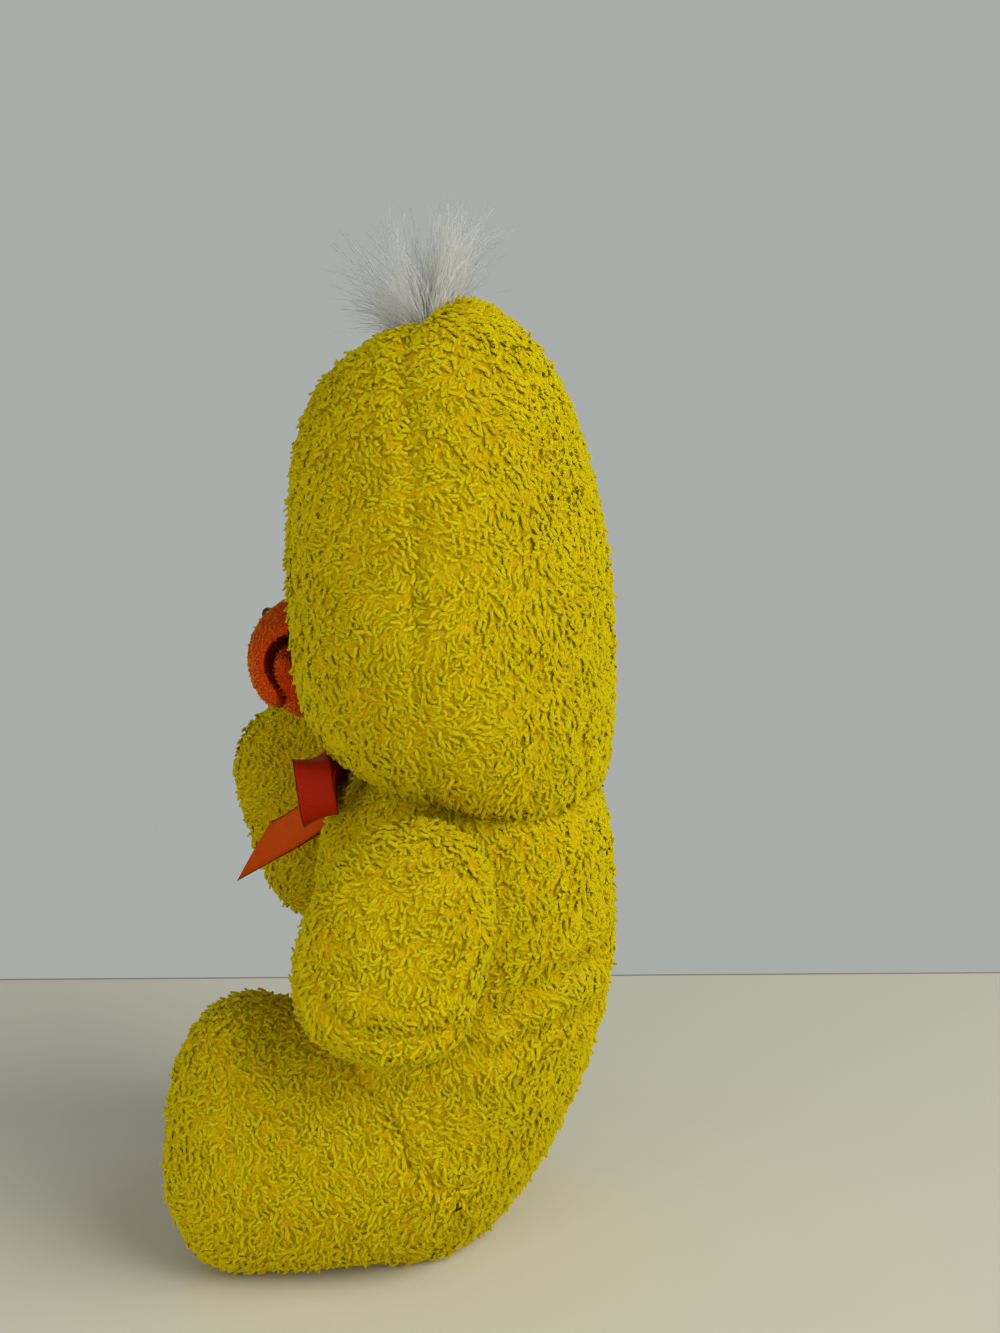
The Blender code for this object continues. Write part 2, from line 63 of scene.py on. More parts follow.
# Terry
LOOP_SPACING = 0.00087
LOOP_RISE = 0.00010          # the ground cloth lies this far inside the solid
LOOP_SOFTNESS = 0.70         # how far a loop's shading follows the cloth under it
LOOP_REACH, LOOP_HEIGHT = 0.0021, 0.0006   # how far a loop reaches along the nap and up
LOOP_SIZES = (0.84, 1.16)
LOOP_LIFT = 0.0003           # what lies over a root is looked for from this far above it
LOOP_LOWEST = 0.00005        # no loop comes nearer to the table
COVER_REACH = 0.05
NEIGHBOUR_ROOM, SEWN_ROOM = 0.0009, 0.0003   # the least room over a root, by the piece above it
UNDERSIDE_HEIGHT, UNDERSIDE_SLOPE = 0.0009, -0.7   # no loops on cloth this low that faces down
NAP_TRIES, NAP_STEP = 4, 1.6   # a loop that hits a neighbour turns by a step, in radians
SWIRLS = ((75, 2.6), (210, 1.3))   # noise that turns the nap: its scale, and radians
LOOP_SHADE = (0.55, 0.35, 120, (7, 3, 1), 0.16)   # middle, drift, drift's scale and offset, spread
LOOP_TINT = (0.35, 0.60, 60, (1, 9, 4), 0.20)
CROWDING = 4.5               # points tried for each square of the spacing
GROUND_VOXEL = 0.0016
GROUND_SMOOTHING = 4
GROUND_LOWEST = 0.0002
SHADES = 8                   # yarn shades, and as many tints of each
BILL_SPACING = 0.00058
BILL_VOXEL = 0.0008
BILL_INSET = 0.0002
BILL_LOOP_SIZE = 0.36

# Seams, folds and joints
HEAD_SEAM = (0.0011, 0.0016)     # depth and width
BACK_FOLD = (0.0015, 0.0022)
HIP_FOLD = (0.0009, 0.0020)
WING_RIM = (0.0014, 0.0016)
BACK_FOLD_PIXELS = ((606, 945), (590, 962), (560, 975), (530, 992), (505, 1014))
HIP_FOLD_PIXELS = ((592, 1008), (556, 1022), (520, 1040), (490, 1056))
WING_RIM_PIXELS = ((325, 1002), (352, 1026), (400, 1038), (452, 1028), (484, 1000))
HIP_JOINT = (0.0013, 0.0034)     # how far the cloth rises, and over what distance
MOUTH_REACH = 0.0140
MOUTH_LEFT_OPEN = 0.0005

# Hair
HAIR_WISPS = 52
HAIR_PER_WISP = 25
HAIR_LENGTH = 0.0272
HAIR_THICKNESS = 0.00015
HAIR_SOFTNESS = 0.4
HAIR_STEPS = 6
HAIR_BENDS = ((0.05, 0.05), (0.14, -0.12), (0.24, 0.10), (0.36, 0.0), (0.18, -0.18), (0.08, 0.16))
HAIR_DEPTH = 0.0034          # the sewn root lies this far under the crown

# Ribbon
RIBBON_WIDTH = 0.0068
RIBBON_THICKNESS = 0.00035
RIBBON_COLUMNS = 8
BOW_STEPS, TAIL_STEPS = 60, 36
BOW_CUP, TAIL_CUP = 0.0004, 0.0005

# Eyes and stitches
EYE_FLATNESS = 0.72
EYE_RISE = 0.0004
STITCH_LENGTH, STITCH_RADIUS = 0.0026, 0.00038
STITCH_STEPS = 8

# Lights: shares towards the camera, to its right and up, then size, power and colour
LIGHTS = {
    "key": ((0.60, 0.85, 0.78), 1.2, 11.5, (1.0, 0.985, 0.95)),
    "fill": ((0.95, -0.40, 0.30), 1.4, 1.5, (1.0, 0.99, 0.97)),
    "low fill": ((0.42, -0.32, 0.05), 0.3, 0.72, (1.0, 0.98, 0.94)),
}
LIGHT_AIM = (0, 0, 0.09)

# Colours (linear)
# YARN_DEEP darkens some loops at random, and is also the painted shade at the loops' roots.
YARN_DEEP = (0.540, 0.355, 0.001)
YARN = (0.635, 0.455, 0.001)
YARN_BRIGHT = (0.715, 0.535, 0.002)
YARN_GREEN = (0.560, 0.465, 0.001)
# The yellow ground is painted a little oranger than the yarn, and darker again in its valleys: painted shade
# between the loops.
GROUND = (0.660, 0.450, 0.001)
GROUND_SHADE = (0.560, 0.360, 0.001)
# VELOUR_DEEP darkens some loops at random, and is also the painted shade at the loops' roots and in the
# orange ground's valleys.
VELOUR_DEEP = (0.500, 0.025, 0.001)
VELOUR = (0.660, 0.052, 0.002)
VELOUR_BRIGHT = (0.780, 0.105, 0.004)
VELOUR_TINT = (0.820, 0.110, 0.015)
# The red satin is the ribbon's painted shade: the same ribbon as the orange tails, darker and redder as it
# looks in shade.
SATIN_SHADED_RED = (0.400, 0.014, 0.001)
SATIN_ORANGE = (0.640, 0.078, 0.001)
SATIN_EDGE = (0.150, 0.008, 0.001)
HAIR = (0.960, 0.955, 0.860)
HAIR_DULL = (0.860, 0.845, 0.700)
# Towards the root the hair is painted a warm, light white: painted light against the tuft's dark core, with
# the warm tint of its shade.
HAIR_ROOT_PAINTED_LIGHT = (0.970, 0.950, 0.820)
THREAD = (0.010, 0.007, 0.006)
THREAD_CROWN = (0.050, 0.032, 0.025)
EYE_BLACK = (0.010, 0.009, 0.009)
TABLE = (0.800, 0.790, 0.650)
TABLE_CLOUD = (0.760, 0.740, 0.620)
# The next colour is a painted shadow: the dark line along the table's far edge.
TABLE_EDGE_SHADOW = (0.150, 0.140, 0.120)
WALL = (0.400, 0.420, 0.405)
ROOM_LIGHT = (0.250, 0.255, 0.255)


class Value:
    """A node's output that is reckoned with like a number."""

    def __init__(self, graph, socket):
        self.graph, self.socket = graph, socket

    def _math(self, operation, *values, clamp=False):
        return self.graph.add("ShaderNodeMath", {"operation": operation, "use_clamp": clamp},
                              dict(enumerate(values)))

    def __add__(self, other): return self._math("ADD", self, other)
    def __radd__(self, other): return self._math("ADD", other, self)
    def __sub__(self, other): return self._math("SUBTRACT", self, other)
    def __rsub__(self, other): return self._math("SUBTRACT", other, self)
    def __mul__(self, other): return self._math("MULTIPLY", self, other)
    def __truediv__(self, other): return self._math("DIVIDE", self, other)
    def __gt__(self, other): return self._math("GREATER_THAN", self, other)
    def __lt__(self, other): return self._math("LESS_THAN", self, other)
    def floor(self): return self._math("FLOOR", self)
    def fraction(self): return self._math("FRACT", self)
    def size(self): return self._math("ABSOLUTE", self)
    def sine(self): return self._math("SINE", self)
    def held(self): return self._math("ADD", self, 0.0, clamp=True)


class Graph:
    """A node tree that is built one call a node."""

    def __init__(self, tree):
        self.tree = tree

    def add(self, kind, settings=None, inputs=None, output=0):
        """A node's settings come first; stops are a colour ramp's (place, colour) pairs."""
        made = self.tree.nodes.new(kind)
        for name, value in (settings or {}).items():
            if name == "stops":
                elements = made.color_ramp.elements
                while len(elements) < len(value):
                    elements.new(1.0)
                for element, (place, color) in zip(elements, value):
                    element.position, element.color = place, (*color, 1.0)
            else:
                setattr(made, name, value)
        for key, value in (inputs or {}).items():
            if isinstance(value, Value):
                self.tree.links.new(value.socket, made.inputs[key])
            else:
                made.inputs[key].default_value = value
        return Value(self, made.outputs[output]) if made.outputs else None

    def blend(self, share, first, second):
        """Two colours mixed by a share."""
        def full(color):
            return color if isinstance(color, Value) else (*color, 1.0)
        return self.add("ShaderNodeMix", {"data_type": "RGBA"},
                        {0: share, 6: full(first), 7: full(second)}, 2)

    def along(self, uv_map):
        """The two parts of a piece's own map."""
        place = self.add("ShaderNodeUVMap", {"uv_map": uv_map})
        return [self.add("ShaderNodeSeparateXYZ", None, {0: place}, i) for i in (0, 1)]

    def speckle(self, scale, detail=2.0, roughness=0.5):
        """Noise over the piece's own place."""
        place = self.add("ShaderNodeTexCoord", None, None, 3)
        return self.add("ShaderNodeTexNoise", None,
                        {"Vector": place, "Scale": scale, "Detail": detail, "Roughness": roughness})

    def bump(self, height, distance, strength=1.0):
        return self.add("ShaderNodeBump", None,
                        {"Strength": strength, "Distance": distance, "Height": height})


def new_material(name, fixed):
    """A Principled material; fixed gives its constant sockets. Returns it with its graph and inputs."""
    made = bpy.data.materials.new(name)
    made.use_nodes = True
    shader = made.node_tree.nodes["Principled BSDF"]
    for key, value in fixed.items():
        shader.inputs[key].default_value = value
    return made, Graph(made.node_tree), shader


def lead(graph, value, shader, key):
    """Joins a value to one of the shader's inputs."""
    graph.tree.links.new(value.socket, shader.inputs[key])


def yarn_material(name, deep, plain, bright, tint, sheen):
    """Yarn whose shade and tint differ from loop to loop, and darker where it leaves the ground: painted
    shade there.
    """
    made, graph, shader = new_material(name, {"Roughness": 0.9, "Sheen Weight": sheen, "Sheen Roughness": 0.4,
                                              "Sheen Tint": (*bright, 1.0), "Specular IOR Level": 0.06,
                                              "Subsurface Weight": 0.6, "Subsurface Scale": 0.0008,
                                              "Subsurface Radius": (1.0, 0.85, 0.2)})
    across, up = graph.along("OFBake")
    shade = (across * SHADES).floor() / (SHADES - 1)
    hue = (across * SHADES).fraction()
    color = graph.blend(shade, plain, bright)
    color = graph.blend(hue * hue * 0.6, color, tint)
    color = graph.blend((0.45 - shade).held() * 0.8, color, deep)
    # Painted shade: the yarn darkens towards its root, where the loops shade one another and the ground.
    color = graph.blend((1.0 - up * 2.5).held() * 0.6, color, deep)
    lead(graph, color, shader, "Base Color")
    return made


def ground_material(name, color, deep, sheen, grain):
    """The ground between the loops: shorter loops pressed together, as winding ridges in its bump, with
    painted shade in the valleys between them.
    """
    made, graph, shader = new_material(name, {"Roughness": 0.95, "Sheen Weight": sheen,
                                              "Sheen Tint": (*color, 1.0), "Specular IOR Level": 0.1})
    winding = graph.speckle(grain, 1.5, 0.6)
    ridge = 1.0 - (winding * 2.0 - 1.0).size() * 3.2
    # Painted shade: darker in the valleys between the ridges, where the loops shade the ground.
    lead(graph, graph.blend((0.5 + ridge * 0.5).held(), deep, color), shader, "Base Color")
    lead(graph, graph.bump(ridge, 0.30 / grain, 0.8), shader, "Normal")
    return made


def hair_material():
    made, graph, shader = new_material("white hair", {"Roughness": 0.3, "Specular IOR Level": 0.6,
                                                      "Subsurface Weight": 0.9, "Subsurface Scale": 0.002,
                                                      "Subsurface Radius": (1.0, 0.95, 0.8)})
    across, up = graph.along("OFBake")
    color = graph.blend((across * 5.0).fraction(), HAIR, HAIR_DULL)
    # Painted light: the hair turns a warm, light white towards the root, against the shade inside the tuft.
    color = graph.blend((1.0 - up * 3.0).held(), color, HAIR_ROOT_PAINTED_LIGHT)
    lead(graph, color, shader, "Base Color")
    return made


def satin_material(name, color):
    """Ribbon satin: fine ribs across, a dark woven edge on both sides and a faint mottling."""
    made, graph, shader = new_material(name, {"Specular IOR Level": 0.07, "Anisotropic": 0.4})
    across, along = graph.along("OFBake")
    edge = ((across - 0.5).size() > 0.452)
    mottle = graph.speckle(420.0, 2.0)
    color = graph.blend(mottle * 0.5, color, tuple(c * 0.82 for c in color))
    color = graph.blend(edge * 0.85, color, SATIN_EDGE)
    ribs = (along * 620.0).sine() * 0.5 + 0.5
    threads = (across * 260.0).sine() * 0.5 + 0.5
    lead(graph, color, shader, "Base Color")
    lead(graph, 0.36 + mottle * 0.16 + edge * 0.3, shader, "Roughness")
    lead(graph, graph.bump(ribs * 0.7 + threads * 0.3 + edge * 1.5, 0.00006, 0.7), shader, "Normal")
    return made


def eye_material():
    made, graph, shader = new_material("black eye", {"Base Color": (*EYE_BLACK, 1.0),
                                                     "Specular IOR Level": 0.3,
                                                     "Coat Weight": 0.6, "Coat Roughness": 0.04})
    scuffs = graph.speckle(900.0, 4.0, 0.7)
    lead(graph, 0.05 + (scuffs - 0.45).held() * 0.5, shader, "Roughness")
    return made


def thread_material():
    made, graph, shader = new_material("black thread", {"Roughness": 0.75, "Sheen Weight": 0.2})
    across, along = graph.along("OFBake")
    twist = ((along * 9.0 + across * 2.0) * 2 * math.pi).sine() * 0.5 + 0.5
    # The thread is lighter along the crowns of its twist, where the bump rises.
    lead(graph, graph.blend(twist, THREAD, THREAD_CROWN), shader, "Base Color")
    lead(graph, graph.bump(twist, 0.0001), shader, "Normal")
    return made


def evaluated_mesh(obj):
    graph = bpy.context.evaluated_depsgraph_get()
    return bpy.data.meshes.new_from_object(obj.evaluated_get(graph), depsgraph=graph)


def link(obj):
    bpy.context.scene.collection.objects.link(obj)
    return obj


def finished(obj, material):
    """Puts an object's modifiers into its mesh and gives it its one material."""
    mesh = evaluated_mesh(obj)
    obj.modifiers.clear()
    obj.data = mesh
    mesh.materials.clear()
    mesh.materials.append(material)
    mesh.shade_smooth()


def mesh_from(bm, name):
    """A new mesh out of a bmesh, which is freed."""
    mesh = bpy.data.meshes.new(name)
    bm.to_mesh(mesh)
    bm.free()
    return mesh


def tree_from(bm):
    """A tree for rays and nearest points out of a bmesh, which is freed."""
    made = BVHTree.FromBMesh(bm)
    bm.free()
    return made


def merged_copy(node):
    """A node's mesh with its doubled points joined."""
    bm = bmesh.new()
    bm.from_mesh(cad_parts[node].data)
    bmesh.ops.remove_doubles(bm, verts=bm.verts, dist=1e-6)
    return bm


def ground_cloth(name, node, voxel, inset, shape=None):
    """A node's form as one even skin, its trimmed rims rounded, drawn in to where the loops are rooted."""
    cloth = link(bpy.data.objects.new(name, mesh_from(merged_copy(node), name)))
    remesh = cloth.modifiers.new("even", "REMESH")
    remesh.mode = "VOXEL"
    remesh.voxel_size = voxel
    mesh = evaluated_mesh(cloth)
    cloth.modifiers.clear()

    bm = bmesh.new()
    bm.from_mesh(mesh)
    for _ in range(GROUND_SMOOTHING):
        bmesh.ops.smooth_vert(bm, verts=bm.verts, factor=0.5,
                              use_axis_x=True, use_axis_y=True, use_axis_z=True)
    bm.normal_update()
    for vert in bm.verts:
        push = -inset
        if shape:
            push += shape(vert.co, vert.normal)
        vert.co += vert.normal * push
        vert.co.z = max(vert.co.z, GROUND_LOWEST)
    bm.to_mesh(mesh)
    bm.free()
    cloth.data = mesh
    mesh.shade_smooth()
    return cloth


def scattered(mesh, spacing, seed):
    """Evenly crowded points on a mesh, each with the surface's direction there."""
    mesh.calc_loop_triangles()
    corners = np.array([tri.vertices for tri in mesh.loop_triangles])
    points = np.array([vert.co for vert in mesh.vertices])
    normals = np.array([vert.normal for vert in mesh.vertices])
    a, b, c = (points[corners[:, i]] for i in range(3))
    areas = np.linalg.norm(np.cross(b - a, c - a), axis=1) / 2
    rng = np.random.default_rng(seed)
    count = int(areas.sum() / spacing ** 2 * CROWDING)
    chosen = rng.choice(len(areas), count, p=areas / areas.sum())
    u, v = rng.random(count), rng.random(count)
    over = u + v > 1
    u[over], v[over] = 1 - u[over], 1 - v[over]
    weights = np.stack([1 - u - v, u, v], axis=1)[:, :, None]
    places = (points[corners[chosen]] * weights).sum(axis=1)
    ways = (normals[corners[chosen]] * weights).sum(axis=1)
    crowd = KDTree(count)
    for i, place in enumerate(places):
        crowd.insert(place, i)
    crowd.balance()
    free = np.ones(count, bool)
    kept = []
    for i in range(count):
        if free[i]:
            kept.append(i)
            for _, j, _ in crowd.find_range(places[i], spacing):
                free[j] = False
    return [(Vector(places[i]), Vector(ways[i]).normalized()) for i in kept]


def strand(name, route, radii, sides=3, flat=1.0):
    """A closed strand drawn along a route. Its map "strand" runs round it and up it."""
    bm = bmesh.new()
    uv = bm.loops.layers.uv.new("strand")
    ring = bmesh.ops.create_circle(bm, cap_ends=True, segments=sides, radius=1.0)["verts"]
    face = ring[0].link_faces[0]
    places = {}
    last = len(route) - 1
    for step, (point, radius) in enumerate(zip(route, radii)):
        if step:
            made = bmesh.ops.extrude_face_region(bm, geom=[face], use_keep_orig=step == 1)["geom"]
            face = next(item for item in made if isinstance(item, bmesh.types.BMFace))
        along = (Vector(route[min(step + 1, last)]) - Vector(route[max(step - 1, 0)])).normalized()
        wide = Vector((1, 0, 0))
        wide = (wide - along * wide.dot(along)).normalized()
        thin = along.cross(wide)
        for i, vert in enumerate(face.verts):
            angle = 2 * math.pi * i / sides - math.pi / 2
            vert.co = Vector(point) + wide * math.cos(angle) * radius + thin * math.sin(angle) * radius * flat
            places[vert] = (i, step / last)
    for item in bm.faces:
        item.smooth = True
        marks = [places[loop.vert] for loop in item.loops]
        cap = len({mark[1] for mark in marks}) == 1
        wraps = {mark[0] for mark in marks} == {0, sides - 1} and not cap
        for loop, (i, up) in zip(item.loops, marks):
            turn = sides if wraps and i == 0 else i
            if cap:
                up = up + (0.04 if i == 0 else 0.0) * (1 if up < 0.5 else -1)
            loop[uv].uv = (turn / sides, up)
    bmesh.ops.recalc_face_normals(bm, faces=bm.faces)
    return bpy.data.objects.new(name, mesh_from(bm, name))


def grown(name, roots, strands, material, softness=0.0):
    """Sets strands on their roots, and leans their shading towards the cloth's by a softness.

    Each root is (place, rotation matrix, size, column, strand's number, the cloth's direction).
    """
    bm = bmesh.new()
    for root in roots:
        bm.verts.new(root[0])
    mesh = mesh_from(bm, name)
    for label, kind, values in (
        ("turn", "FLOAT_VECTOR", [tuple(root[1].to_euler()) for root in roots]),
        ("size", "FLOAT", [root[2] for root in roots]),
        ("column", "FLOAT", [root[3] for root in roots]),
        ("kind", "INT", [root[4] for root in roots]),
        ("out", "FLOAT_VECTOR", [tuple(root[5]) for root in roots]),
    ):
        attribute = mesh.attributes.new(label, kind, "POINT")
        field = "vector" if kind == "FLOAT_VECTOR" else "value"
        attribute.data.foreach_set(field, np.array(values).ravel())

    models = bpy.data.collections.new(name + " strands")
    for model in strands:
        models.objects.link(model)
    tree = bpy.data.node_groups.new(name, "GeometryNodeTree")
    tree.interface.new_socket("Geometry", in_out="INPUT", socket_type="NodeSocketGeometry")
    tree.interface.new_socket("Geometry", in_out="OUTPUT", socket_type="NodeSocketGeometry")
    graph = Graph(tree)

    def attribute(label, kind):
        return graph.add("GeometryNodeInputNamedAttribute", {"data_type": kind}, {"Name": label})

    source = graph.add("NodeGroupInput")
    picked = graph.add("GeometryNodeCollectionInfo", None,
                       {"Collection": models, "Separate Children": True, "Reset Children": True})
    placed = graph.add("GeometryNodeInstanceOnPoints", None, {
        "Points": source, "Instance": picked, "Pick Instance": True,
        "Instance Index": attribute("kind", "INT"), "Rotation": attribute("turn", "FLOAT_VECTOR"),
        "Scale": attribute("size", "FLOAT")})
    real = graph.add("GeometryNodeRealizeInstances", None, {"Geometry": placed})
    around = attribute("strand", "FLOAT_VECTOR")
    across = graph.add("ShaderNodeSeparateXYZ", None, {0: around}, 0)
    up = graph.add("ShaderNodeSeparateXYZ", None, {0: around}, 1)
    columns = SHADES * SHADES
    place = graph.add("ShaderNodeCombineXYZ", None,
                      {0: (attribute("column", "FLOAT") + 0.1 + across * 0.8) / columns, 1: up})
    stored = graph.add("GeometryNodeStoreNamedAttribute", {"data_type": "FLOAT2", "domain": "CORNER"},
                       {"Geometry": real, "Name": "OFBake", "Value": place})
    graph.add("NodeGroupOutput", None, {0: stored})

    piece = link(bpy.data.objects.new(name, mesh))
    growth = piece.modifiers.new("strands", "NODES")
    growth.node_group = tree
    finished(piece, material)
    if softness:
        count = len(piece.data.vertices)
        cloth_way, own_way = np.zeros(count * 3), np.zeros(count * 3)
        piece.data.attributes["out"].data.foreach_get("vector", cloth_way)
        piece.data.vertices.foreach_get("normal", own_way)
        shading = (cloth_way * softness + own_way * (1 - softness)).reshape(-1, 3)
        piece.data.normals_split_custom_set_from_vertices(shading)
    for label in ("strand", "turn", "size", "column", "kind", "out"):
        extra = piece.data.attributes.get(label)
        if extra:
            piece.data.attributes.remove(extra)
    for model in strands:
        bpy.data.objects.remove(model)
    bpy.data.collections.remove(models)
    return piece


# Yarn loops, leaning towards +Y and rooted at the origin, in millimetres: routes and half widths
LOOP_SHAPES = (
    (((0.0, -0.2, -0.2), (0.22, 0.85, 0.30), (-0.12, 1.95, 0.18)), (0.34, 0.46, 0.32)),
    (((0.0, -0.2, -0.2), (0.50, 0.70, 0.28), (0.05, 1.80, 0.28)), (0.34, 0.46, 0.32)),
    (((0.0, -0.2, -0.2), (-0.50, 0.75, 0.28), (-0.05, 1.85, 0.24)), (0.34, 0.46, 0.32)),
    (((0.0, -0.2, -0.2), (0.08, 1.10, 0.24), (-0.25, 2.40, 0.16)), (0.34, 0.45, 0.32)),
    (((0.0, 0.0, -0.2), (-0.15, 0.55, 0.70), (0.35, 1.30, 1.15)), (0.30, 0.37, 0.26)),
    (((0.0, -0.2, -0.2), (-0.42, 0.50, 0.28), (0.15, 1.25, 0.38), (0.68, 1.80, 0.18)),
     (0.32, 0.40, 0.41, 0.31)),
    (((0.0, -0.2, -0.2), (0.42, 0.55, 0.28), (-0.20, 1.25, 0.36), (-0.55, 1.95, 0.18)),
     (0.32, 0.40, 0.41, 0.31)),
    (((0.0, 0.0, -0.2), (0.25, 0.50, 0.50), (-0.05, 1.30, 0.58), (-0.70, 1.50, 0.32)),
     (0.30, 0.38, 0.39, 0.30)),
)


def loop_models(name, scale):
    made = []
    for i, (route, radii) in enumerate(LOOP_SHAPES):
        made.append(strand(f"{name} {i}", [Vector(p) * 0.001 * scale for p in route],
                           [r * 0.001 * scale for r in radii], 3, 0.8))
    return made


def mottled(rng, place, middle, drift, scale, offset, spread):
    """A value that drifts over the cloth and differs from loop to loop."""
    return middle + drift * noise.noise(place * scale + Vector(offset)) + rng.normal(0, spread)


def combed(normal, way, angle, tilt):
    """A turn that stands +Z up from the surface and leans +Y along the nap."""
    lean = way - normal * way.dot(normal)
    if lean.length < 1e-4:
        lean = normal.orthogonal()
    lean.normalize()
    lean.rotate(Matrix.Rotation(angle, 3, normal))
    side = lean.cross(normal)
    made = Matrix((side, lean, normal)).transposed()
    return made @ Matrix.Rotation(tilt, 3, "X")


def column_of(shade, tint):
    """The column of the yarn's map that has this shade and tint, both from 0 to 1."""
    row = min(SHADES - 1, max(0, int(shade * SHADES)))
    return row * SHADES + min(SHADES - 1, max(0, int(tint * SHADES)))


def pile(name, cloth, spacing, neighbours, sewn, nap, models, material, seed, keep=None, size=1.0, wild=0.5):
    """Yarn loops all over a cloth, apart from where another piece covers it.

    A loop bends clear of its neighbours, and may lie across the joint with a piece it is sewn to.
    """
    rng = np.random.default_rng(seed)
    above = [(tree, NEIGHBOUR_ROOM) for tree in neighbours] + [(tree, SEWN_ROOM) for tree in sewn]
    roots = []
    for place, normal in scattered(cloth.data, spacing, seed):
        if (keep and not keep(place)) or (place.z < UNDERSIDE_HEIGHT and normal.z < UNDERSIDE_SLOPE):
            continue
        start = place + normal * LOOP_LIFT
        covered = False
        for tree, room in above:
            near, out, _, away = tree.ray_cast(start, normal, COVER_REACH)
            if near is not None and (out.dot(normal) > 0 or away < room):
                covered = True
                break
        if covered:
            continue
        swirl = sum(noise.noise(place * scale) * turned for scale, turned in SWIRLS)
        angle = swirl + rng.normal(0, wild)
        tilt = rng.normal(0.03, 0.18)
        for attempt in range(NAP_TRIES):
            turn = combed(normal, nap(place), angle + attempt * NAP_STEP, tilt)
            way = turn @ Vector((0, LOOP_REACH * size, LOOP_HEIGHT * size))
            if not any(tree.ray_cast(start, way, way.length)[0] for tree in neighbours):
                break
        else:
            continue
        shade = mottled(rng, place, *LOOP_SHADE)
        tint = mottled(rng, place, *LOOP_TINT)
        roots.append((place, turn, rng.uniform(*LOOP_SIZES), column_of(shade, tint),
                      int(rng.integers(len(models))), normal))
    piece = grown(name, roots, models, material, LOOP_SOFTNESS)
    for vert in piece.data.vertices:
        vert.co.z = max(vert.co.z, LOOP_LOWEST)


def distance_to(paths):
    """How far a place is from the nearest point of some paths."""
    marks = [point for path in paths for point in path]
    tree = KDTree(len(marks))
    for i, point in enumerate(marks):
        tree.insert(point, i)
    tree.balance()
    return lambda place: tree.find(place)[2]


def crease(paths, depth, width):
    """A seam: drawn in along the paths."""
    distance = distance_to(paths)
    return lambda place, _: -depth * math.exp(-(distance(place) / width) ** 2)


def folded(paths, depth, width):
    """Soft folds: drawn in along the paths, with a low roll on both sides."""
    distance = distance_to(paths)

    def shape(place, _):
        away = distance(place) / width
        return depth * (0.45 * math.exp(-(away - 2.1) ** 2) - math.exp(-away ** 2))
    return shape


def filled_in(points, step=0.0008):
    """A path with points every step."""
    made = []
    for a, b in zip(points, points[1:]):
        a, b = Vector(a), Vector(b)
        count = max(1, int((b - a).length / step))
        made += [a.lerp(b, i / count) for i in range(count)]
    return made + [Vector(points[-1])]


def side_seams(node, seam_y, low, high):
    """Where a seam runs up both sides of a piece: rays from each side meet its surface."""
    paths = []
    for side in (1, -1):
        path = []
        for i in range(60):
            z = low + (high - low) * i / 59
            hit = trees[node].ray_cast(Vector((side * 0.2, seam_y(z), z)), Vector((-side, 0, 0)))[0]
            if hit:
                path.append(hit)
        paths.append(filled_in(path))
    return paths


# Cloth and pile, piece by piece
def down(_):
    """The nap of everything but the head."""
    return Vector((0, 0, -1))


terry = yarn_material("yellow terry", YARN_DEEP, YARN, YARN_BRIGHT, YARN_GREEN, 0.18)
terry_ground = ground_material("yellow ground", GROUND, GROUND_SHADE, 0.2, 620.0)
velour = yarn_material("orange velour", VELOUR_DEEP, VELOUR, VELOUR_BRIGHT, VELOUR_TINT, 0.35)
velour_ground = ground_material("orange ground", VELOUR, VELOUR_DEEP, 0.2, 1300.0)

SOFT = ("head", "body", "wing_left", "wing_right", "leg_left", "leg_right")
trees = {node: tree_from(merged_copy(node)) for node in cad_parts}

head_low, head_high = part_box("head")
crown = trees["head"].ray_cast(Vector((0, -0.0056, 1.0)), Vector((0, 0, -1)))[0]


def head_nap(place):
    """Away from the tuft on the crown, and down everywhere else."""
    away = place - crown
    share = min(1.0, away.length / 0.035)
    return away.normalized() * (1 - share) + Vector((0, 0, -1)) * share


def head_seam(z):
    """How far back the head's side seams run at a height."""
    share = (z - head_low.z) / (head_high.z - head_low.z)
    return 0.0065 - 0.0115 * max(0.0, share - 0.35) ** 2 / 0.42


def camera_frame():
    """The camera's place and the ways it calls right, down the lens and up."""
    turn = math.radians(CAMERA_TURN)
    flat = Vector((math.sin(turn), -math.cos(turn), 0))
    right = Vector((math.cos(turn), math.sin(turn), 0))
    place = flat * CAMERA_AWAY + Vector((0, 0, CAMERA_HEIGHT))
    yaw = math.atan((PICTURE[0] / 2 - AXIS_PIXEL) / FOCAL_PIXELS)
    pitch = (math.atan2(CAMERA_HEIGHT - LEVEL_HEIGHT, CAMERA_AWAY)
             - math.atan((LEVEL_PIXEL - PICTURE[1] / 2) / FOCAL_PIXELS))
    level = -flat * math.cos(yaw) + right * math.sin(yaw)
    look = level * math.cos(pitch) - Vector((0, 0, 1)) * math.sin(pitch)
    side = level.cross(Vector((0, 0, 1)))
    return place, flat, right, Matrix((side, side.cross(look), -look)).transposed()


eye_place, flat, right, eye_turn = camera_frame()


def seen_at(node, points):
    """Where the camera's rays through points of the picture meet a piece."""
    path = []
    for x, y in points:
        way = eye_turn @ Vector(((x - PICTURE[0] / 2) / FOCAL_PIXELS,
                                 (PICTURE[1] / 2 - y) / FOCAL_PIXELS, -1))
        hit = trees[node].ray_cast(eye_place, way.normalized())[0]
        if hit:
            path.append(hit)
    return filled_in(path)


seam = crease(side_seams("head", head_seam, head_low.z + 0.004, head_high.z - 0.002), *HEAD_SEAM)
back_fold = folded([seen_at("body", BACK_FOLD_PIXELS)], *BACK_FOLD)
hip_fold = folded([seen_at("body", HIP_FOLD_PIXELS)], *HIP_FOLD)
wing_rim = folded([seen_at("wing_left", WING_RIM_PIXELS)], *WING_RIM)


